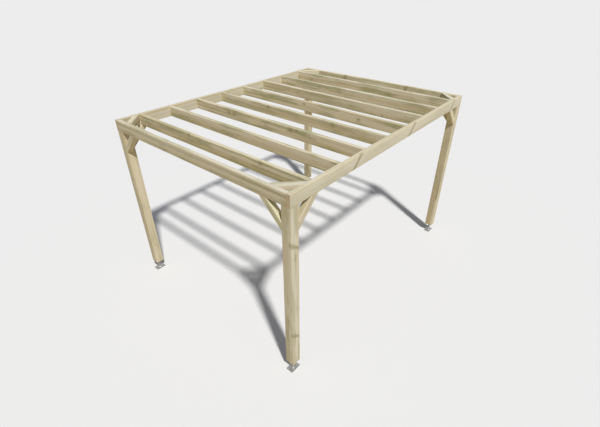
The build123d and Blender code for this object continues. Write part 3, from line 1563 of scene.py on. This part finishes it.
@dataclass
class Shoes:
    """The galvanised shoes under the posts, whose solids gain threads and screws."""

    nut_top: float = 0.089  # the height of the nut's upper side
    head_under: float = 0.134  # the height of the head plate's underside
    crest: float = 12.0 * MILLIMETRE  # the outer radius of the rod's thread
    root: float = 10.7 * MILLIMETRE  # the radius at which the thread leaves the rod
    pitch: float = 3.0 * MILLIMETRE  # the height of one turn
    foot_height: float = 0.86  # the height of the thread at its root, as a share of the pitch
    crest_height: float = 0.16  # its height at the crest, as a share of that
    steps: int = 28  # into how many steps a turn is divided
    screw_spread: float = 0.033  # how far from the post's middle line the head plate's screws are
    # The sides, the radius, the height and the rounding of a screw's collar
    collar: tuple[float, ...] = (24, 7.5 * MILLIMETRE, 1.2 * MILLIMETRE, 0.4 * MILLIMETRE)
    # The sides, the radius and the height of its crown, and the width and the drop of the bevel
    crown: tuple[float, ...] = (6, 5.0 * MILLIMETRE, 4.0 * MILLIMETRE, 0.7 * MILLIMETRE, 0.35 * MILLIMETRE)

    def build(self) -> None:
        """Dress the shoes and model their threads and screws."""
        steel = GALVANISED.material()
        thread, bolt = self._thread(), self._washer_head()
        spread = (-self.screw_spread, self.screw_spread)
        for corner in Corner:
            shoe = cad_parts[f"shoe_{corner.label}"]
            put_on(shoe, steel)
            log.info("dressed %s", shoe.name)
            low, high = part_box(shoe.name)
            centre = (low + high) / 2
            centre.z = 0.0
            rod = Bench.copy(thread, f"rod_thread_{corner.label}", Matrix.Translation(centre))
            dress_steel(rod, steel)
            heads = []
            for spot in (Vector((right, back, self.head_under)) for right in spread for back in spread):
                heads.append(Bench.copy(bolt, "screw", Matrix.Translation(centre + spot)))
            dress_steel(Bench.join(f"head_plate_screws_{corner.label}", heads), steel)
        Bench.discard([thread, bolt])

    def _thread(self) -> Piece:
        """Model the thread between nut and head plate, wound round the upright through the origin.

        Returns:
            The thread.
        """
        turns = int((self.head_under - self.nut_top) / self.pitch) - 1
        start = (self.nut_top + self.head_under - turns * self.pitch) / 2
        width = self.crest - self.root
        middle = Vector(((self.crest + self.root) / 2, 0.0, start))
        Bench.clear()
        bpy.ops.mesh.primitive_plane_add(size=width, location=middle, rotation=(math.pi / 2, 0, 0))
        thread = Bench.settle("thread")
        Bench.pick_all(Part.FACE)
        foot = self.foot_height * self.pitch / width
        bpy.ops.transform.resize(value=(1.0, 1.0, foot), center_override=middle)
        Bench.pick(thread, Part.VERT, lambda vert: vert.co.x > middle.x)
        bpy.ops.transform.resize(value=(1.0, 1.0, self.crest_height), center_override=middle)
        Bench.pick_all(Part.FACE)
        bpy.ops.mesh.delete(type="ONLY_FACE")
        Bench.apply(
            thread,
            "SCREW",
            axis="Z",
            angle=math.tau,
            screw_offset=self.pitch,
            iterations=turns,
            steps=self.steps,
            render_steps=self.steps,
            use_merge_vertices=False,
        )
        Bench.edit(thread)
        bpy.ops.mesh.select_mode(type="EDGE")
        bpy.ops.mesh.select_non_manifold()
        bpy.ops.mesh.fill_holes(sides=4)
        Bench.close(thread)
        return thread

    def _washer_head(self) -> Piece:
        """Model a hexagon screw head with its collar, hanging from height 0.

        Returns:
            The head.
        """
        sides, radius, thin, rounding = self.collar
        head = Bench.cylinder("washer_head", sides, radius, 0.0, thin)
        Bench.pick(head, Part.EDGE, lambda edge: all(vert.co.z < -thin / 2 for vert in edge.verts))
        bpy.ops.mesh.bevel(offset=rounding, segments=2, affect="EDGES")
        Bench.close(head)
        sides, radius, height, bevel, drop = self.crown
        crown = Bench.cylinder("crown", sides, radius, -thin, height)
        Bench.pick(crown, Part.FACE, Bench.facing(-Z_AXIS))
        bpy.ops.mesh.inset(thickness=bevel)
        Bench.raise_by(-drop)
        Bench.close(crown)
        return Bench.join("washer_head", [head, crown])


# Studio


@dataclass(frozen=True)
class Viewpoint:
    """The camera, placed where the picture was taken from."""

    place: Place = (3.38344, -4.03369, 4.08673)
    yaw: float = 0.70634  # its turn about the upright from +Y, anticlockwise from above, in radians
    pitch: float = -0.57339  # its tilt up from level
    roll: float = -0.00400  # its turn about its own axis
    focal: float = 380.632
    picture_width: float = 600.0
    clip: Range = (0.02, 400.0)  # the nearest and the farthest that it sees

    def build(self) -> None:
        """Set up the camera and make it the scene's."""
        lens = bpy.data.cameras.new("camera")
        lens.sensor_fit = "HORIZONTAL"
        lens.lens = self.focal / self.picture_width * lens.sensor_width
        lens.clip_start, lens.clip_end = self.clip
        camera = bpy.data.objects.new("camera", lens)
        tilt = Matrix.Rotation(math.pi / 2 + self.pitch, 4, "X") @ Matrix.Rotation(self.roll, 4, "Z")
        turn = Matrix.Rotation(self.yaw, 4, "Z") @ tilt
        camera.matrix_world = Matrix.Translation(self.place) @ turn
        bpy.context.scene.collection.objects.link(camera)
        bpy.context.scene.camera = camera


@dataclass(frozen=True)
class Studio:
    """A pale floor under one broad, high lamp and an even sky."""

    toward_lamp: Place = (0.645, -0.332, 1.0)
    lamp_strength: float = 3.2
    lamp_softness: float = 4.0  # the angle over which its light comes, in degrees
    sky_strength: float = 0.2
    sky_colour: Colour = (0.9, 0.97, 1.12, 1.0)  # the sky's light, a little cool
    shown_floor: Colour = (0.84, 0.829, 0.805, 1.0)  # the floor's colour as it is seen
    # The backdrop's colour, at which the lit floor meets it without an edge
    backdrop: Colour = (0.845, 0.845, 0.845, 1.0)
    # The floor's colour for the light that it throws back up
    lit_floor: Colour = (0.47, 0.385, 0.22, 1.0)
    floor_radius: float = 60.0
    floor_sides: int = 96
    floor_depth: float = 0.5  # how far the rim reaches down
    floor_roughness: float = 0.9

    def build(self) -> None:
        """Set up the floor, the lamp and the sky."""
        self._floor()
        self._lamp()
        self._sky()

    def _seen(self, sheet: Sheet) -> Signal:
        """Say whether a ray comes from the camera, from a gloss or through glass.

        Args:
            sheet: The nodes that ask.

        Returns:
            1 for such a ray and 0 for any other.
        """
        path = sheet.node("LightPath").outputs
        direct = Signal(sheet, path["Is Camera Ray"]).then("MAXIMUM", path["Is Glossy Ray"])
        return direct.then("MAXIMUM", path["Is Transmission Ray"])

    def _floor(self) -> None:
        """Lay the floor, a disc whose rim turns down."""
        Bench.clear()
        radius = self.floor_radius
        bpy.ops.mesh.primitive_circle_add(vertices=self.floor_sides, radius=radius, fill_type="NGON")
        floor = Bench.settle("studio_floor")
        Bench.pick_all(Part.EDGE)
        bpy.ops.mesh.extrude_edges_move(TRANSFORM_OT_translate={"value": (0, 0, -self.floor_depth)})
        Bench.close(floor)
        material, sheet = new_material("pale_floor")
        colour = sheet.mix(self._seen(sheet), self.lit_floor, self.shown_floor)
        roughness = self.floor_roughness
        sheet.surface({"Base Color": colour, "Roughness": roughness, "Specular IOR Level": 0.0})
        put_on(floor, material)

    def _lamp(self) -> None:
        """Hang the broad lamp."""
        light = bpy.data.lights.new("key_lamp", "SUN")
        light.energy = self.lamp_strength
        light.angle = math.radians(self.lamp_softness)
        lamp = bpy.data.objects.new("key_lamp", light)
        lamp.rotation_euler = Vector(self.toward_lamp).to_track_quat("Z", "Y").to_euler()
        bpy.context.scene.collection.objects.link(lamp)

    def _sky(self) -> None:
        """Light the scene evenly from all round, and show a pale backdrop to the camera."""
        world = bpy.data.worlds.new("studio_sky")
        bpy.context.scene.world = world
        world.use_nodes = True
        world.node_tree.nodes.clear()
        sheet = Sheet(world.node_tree)
        seen = self._seen(sheet)
        colour = sheet.mix(seen, self.sky_colour, self.backdrop)
        strength = seen * (1.0 - self.sky_strength) + self.sky_strength
        background = sheet.node("Background", {"Color": colour, "Strength": strength})
        sheet.node("OutputWorld", {"Surface": background.outputs[0]})


def main() -> None:
    """Build the pergola and its studio, piece by piece."""
    logging.basicConfig(level=logging.INFO, format="%(name)s: %(message)s")
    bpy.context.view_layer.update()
    bpy.context.scene.view_settings.view_transform = "Standard"
    Viewpoint().build()
    cutters = Cutters()
    cutters.model()
    Posts().build(cutters)
    roof_pockets = RoofFrame().build(cutters)
    brace_pockets = Braces().build(cutters)
    cutters.clear_away()
    Screws().build({"screws_roof": roof_pockets, "screws_braces": brace_pockets})
    Shoes().build()
    Studio().build()
    bpy.context.view_layer.update()


if __name__ == "__main__":
    main()
